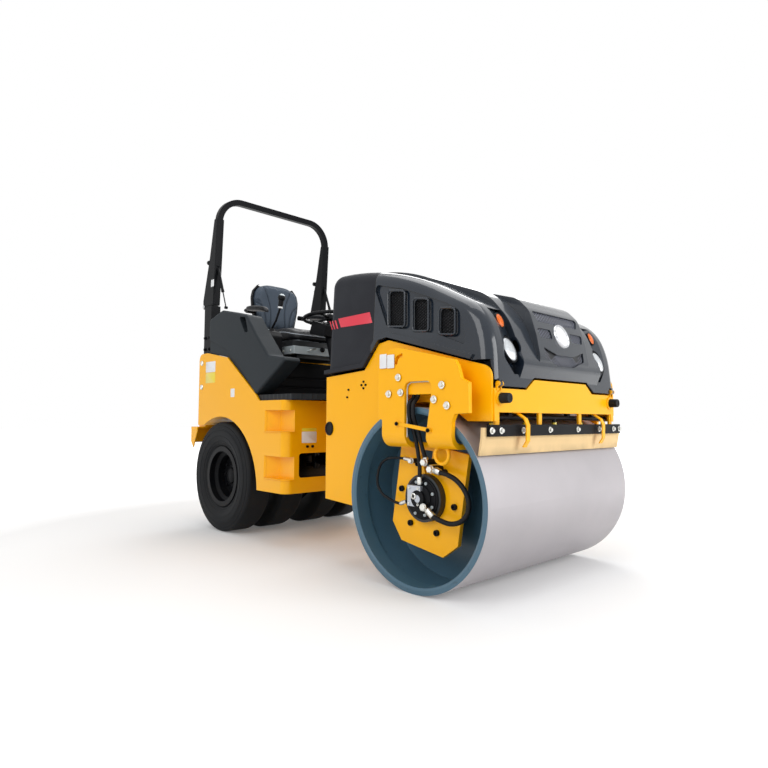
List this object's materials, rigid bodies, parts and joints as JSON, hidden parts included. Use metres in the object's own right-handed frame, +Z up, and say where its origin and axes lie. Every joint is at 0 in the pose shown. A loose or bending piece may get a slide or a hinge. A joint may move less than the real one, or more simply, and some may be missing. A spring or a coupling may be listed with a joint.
{
  "type": "combination asphalt roller",
  "caption": "Compact articulated asphalt roller with a smooth drum in front, twin smooth tyres at each rear side, a tilting hood and a folding roll bar.",
  "frame": {"origin": "on the ground, midway between the front and rear ends, on the centre plane", "axes": "+X forward, +Y to the operator's left, +Z up"},
  "size_m": [2.9773, 1.428, 2.6133],
  "materials": {
    "yellow_paint": "satin paint",
    "black_paint": "satin paint",
    "dark_paint": "satin paint",
    "floor_plate": "chequered plate, painted",
    "grey_plastic": "moulded, fine grain",
    "black_plastic": "moulded",
    "seat_black": "grained vinyl",
    "seat_blue_grey": "grained vinyl",
    "bright_steel": "ground",
    "cast_block": "cast",
    "hood_plastic": "moulded, semi-gloss",
    "drum_steel": "turned",
    "tyre_rubber": "smooth tread",
    "black_rubber": "hose and buffer rubber",
    "mat_fibre": "pale pressed fibre",
    "lamp_glass": "lenses and their housings"
  },
  "bodies": {
    "rear_frame": {"rear_frame": "yellow_paint", "rear_sides": "yellow_paint", "rear_front_wall": "yellow_paint", "step_boxes": "yellow_paint", "rear_axle": "dark_paint", "rear_bumper": "yellow_paint", "platform_floor": "floor_plate", "fender_right": "grey_plastic", "fender_left": "grey_plastic", "seat_base": "dark_paint", "seat_slide": "bright_steel", "seat_cushion": "seat_black", "seat_back": "seat_blue_grey", "armrests": "seat_black", "control_console": "black_plastic", "travel_lever": "black_plastic", "steering_column": "black_plastic", "steering_wheel": "black_plastic", "rops_posts": "black_paint", "rops_pins": "bright_steel", "rear_yoke": "yellow_paint"},
    "rops_hoop": {"rops_hoop": "black_paint"},
    "front_frame": {"front_frame": "yellow_paint", "front_beam": "yellow_paint", "buffers": "black_rubber", "mat_bar": "black_paint", "drum_mat": "mat_fibre", "spray_bar": "black_plastic", "drum_arm_right": "yellow_paint", "drum_arm_left": "yellow_paint", "drum_motor_right": "dark_paint", "drum_motor_left": "dark_paint", "drum_hoses": "black_rubber", "engine": "cast_block", "front_yoke": "yellow_paint"},
    "hood": {"hood": "hood_plastic", "front_lamps": "lamp_glass", "hood_grilles": "black_plastic"},
    "drum": {"drum": "drum_steel"},
    "rear_wheels_right": {"tyres_right": "tyre_rubber", "rims_right": "black_paint"},
    "rear_wheels_left": {"tyres_left": "tyre_rubber", "rims_left": "black_paint"},
    "steer_barrel": {"steer_barrel": "black_paint"},
    "steer_rod": {"steer_rod": "bright_steel"}
  },
  "joints": [
    {"name": "steer", "type": "hinge", "parent": "rear_frame", "child": "front_frame", "pos_m": [-0.02, 0, 0.545], "axis": [0, 0, 1], "range_deg": [-35, 35]},
    {"name": "drum_roll", "type": "hinge", "parent": "front_frame", "child": "drum", "pos_m": [1.01, 0, 0.45], "axis": [0, 1, 0], "continuous": true},
    {"name": "hood_open", "type": "hinge", "parent": "front_frame", "child": "hood", "pos_m": [1.44, 0, 1.003], "axis": [0, 1, 0], "range_deg": [0, 50]},
    {"name": "wheels_right_roll", "type": "hinge", "parent": "rear_frame", "child": "rear_wheels_right", "pos_m": [-1.05, -0.334, 0.405], "axis": [0, 1, 0], "continuous": true},
    {"name": "wheels_left_roll", "type": "hinge", "parent": "rear_frame", "child": "rear_wheels_left", "pos_m": [-1.05, 0.334, 0.405], "axis": [0, 1, 0], "continuous": true},
    {"name": "rops_fold", "type": "hinge", "parent": "rear_frame", "child": "rops_hoop", "pos_m": [-1.4, 0, 1.728], "axis": [0, -1, 0], "range_deg": [0, 105]},
    {"name": "barrel_swing", "type": "hinge", "parent": "rear_frame", "child": "steer_barrel", "pos_m": [-0.46, -0.14, 0.545], "axis": [0, 0, 1], "range_deg": [-6.62, 6.62]},
    {"name": "rod_slide", "type": "slide", "parent": "steer_barrel", "child": "steer_rod", "axis": [0.9983, -0.0576, 0], "range_m": [-0.1006, 0.1006]}
  ],
  "couplings": [
    {"joint": "barrel_swing", "follows": "steer", "ratio": 0.16066},
    {"joint": "rod_slide", "follows": "steer", "m_per_rad": 0.16141}
  ]
}
